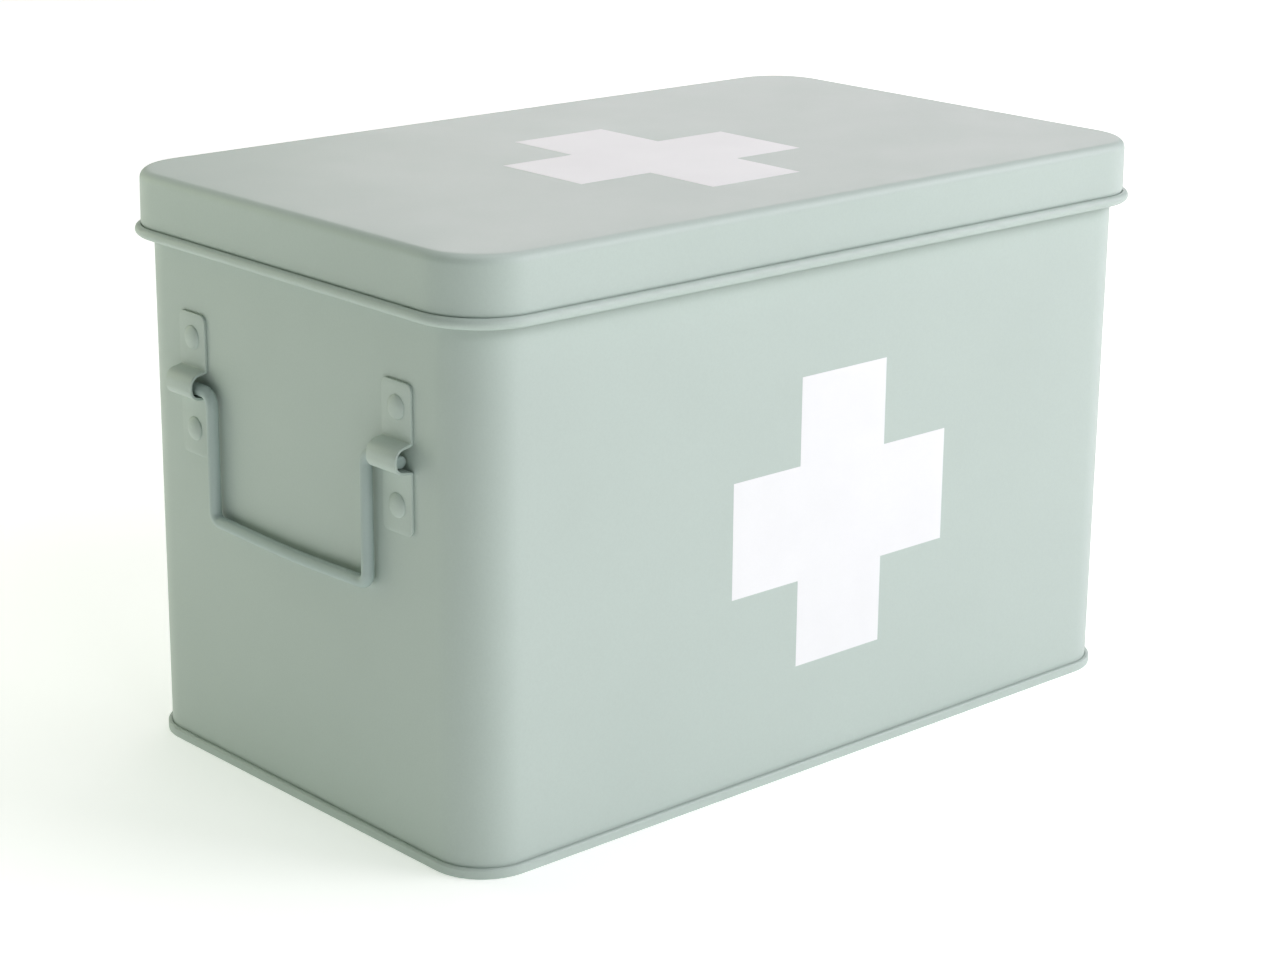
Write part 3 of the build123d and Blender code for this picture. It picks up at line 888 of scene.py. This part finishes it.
def lobe(slot, direction, power, strength, colour):
    """A soft patch of sky that fades out to nothing at right angles to the direction."""
    dot = wt.nodes.new("ShaderNodeVectorMath")
    dot.operation = "DOT_PRODUCT"
    dot.inputs[1].default_value = Vector(direction).normalized()
    wt.links.new(w_coord.outputs["Generated"], dot.inputs[0])
    clamp = wt.nodes.new("ShaderNodeMapRange")
    wt.links.new(dot.outputs["Value"], clamp.inputs["Value"])
    curve = wt.nodes.new("ShaderNodeMath")
    curve.operation = "POWER"
    curve.inputs[1].default_value = power
    wt.links.new(clamp.outputs[0], curve.inputs[0])
    scale = wt.nodes.new("ShaderNodeMath")
    scale.operation = "MULTIPLY"
    scale.inputs[1].default_value = strength
    wt.links.new(curve.outputs[0], scale.inputs[0])
    sky = wt.nodes.new("ShaderNodeBackground")
    sky.inputs["Color"].default_value = (*colour, 1)
    wt.links.new(scale.outputs[0], sky.inputs["Strength"])
    wt.links.new(sky.outputs[0], w_add.inputs[slot])


lobe(0, (-1, 1, 0.2), 3.0, 0.20, (0.74, 1.0, 0.60))
lobe(1, (0, -1, 0.25), 1.5, 0.075, (0.88, 0.95, 1.0))


def area(name, place, target, size, power, colour=(1, 1, 1)):
    data = bpy.data.lights.new(name, "AREA")
    data.shape = "RECTANGLE"
    data.size, data.size_y = size
    data.energy = power
    data.color = colour
    obj = bpy.data.objects.new(name, data)
    obj.location = place
    direction = Vector(target) - Vector(place)
    obj.rotation_euler = direction.to_track_quat("-Z", "Y").to_euler()
    obj.visible_camera = False
    bpy.context.scene.collection.objects.link(obj)
    return obj


# soft boxes: the large key at the front right, one overhead, low fill behind
for name, place, target, size, power, colour in (
    ("key", (1.3, -1.7, 1.3), (0, 0, 0.1), (1.2, 1.2), 25.2, (1.0, 0.977, 1.02)),
    ("key_right", (1.9, -0.9, 0.9), (0, 0, 0.1), (1.0, 1.0), 8.3, (1.03, 0.9, 1.07)),
    ("front_fill", (-0.2, -2.0, 1.4), (0, 0, 0.12), (1.4, 0.9), 10.9, (0.983, 1.0, 1.023)),
    ("overhead", (0.1, 0.2, 1.7), (0, 0, 0.1), (1.6, 1.2), 11.7, (1.0, 1.0, 1.0)),
    ("back", (0.3, 1.9, 0.9), (0, 0, 0.15), (2.0, 1.0), 3.2, (1.1, 1.0, 0.9)),
    ("back_right", (1.5, 1.3, 0.8), (0, 0, 0.15), (1.2, 1.0), 6.9, (1.05, 0.94, 1.0)),
    ("rear_left", (-0.36, 0.5, 0.28), (-0.15, 0.06, 0.05), (0.3, 0.3), 0.60, (0.96, 1.0, 0.76)),
):
    area(name, place, target, size, power, colour)

# -------------------------------------------------------------------- camera
FOCAL, PX, PY = 2893.165385417705, 672.6, 440.9
RX, RY, RZ = 1.9554295656185425, -0.7113298185726932, -0.24496386987606658
SHIFT_MM = Vector((-10.255519518379423, 89.32711618457928, 1041.5435303414827))
rot = Matrix.Rotation(RZ, 3, "Z") @ Matrix.Rotation(RY, 3, "Y") @ Matrix.Rotation(RX, 3, "X")
centre = -(rot.transposed() @ SHIFT_MM) * MM
right, down, ahead = rot[0], rot[1], rot[2]
pose = Matrix(
    (
        (right.x, -down.x, -ahead.x, centre.x),
        (right.y, -down.y, -ahead.y, centre.y),
        (right.z, -down.z, -ahead.z, centre.z),
        (0, 0, 0, 1),
    )
)
cam_data = bpy.data.cameras.new("camera")
cam_data.sensor_fit = "HORIZONTAL"
cam_data.sensor_width = 36.0
cam_data.lens = FOCAL / 1270 * 36.0
cam_data.shift_x = (634.5 - PX) / 1270
cam_data.shift_y = (PY - 479.0) / 1270
cam_data.clip_end = 100
camera = bpy.data.objects.new("camera", cam_data)
camera.matrix_world = pose
bpy.context.scene.collection.objects.link(camera)
bpy.context.scene.camera = camera
bpy.context.scene.view_settings.view_transform = "Standard"
bpy.context.scene.view_settings.look = "None"
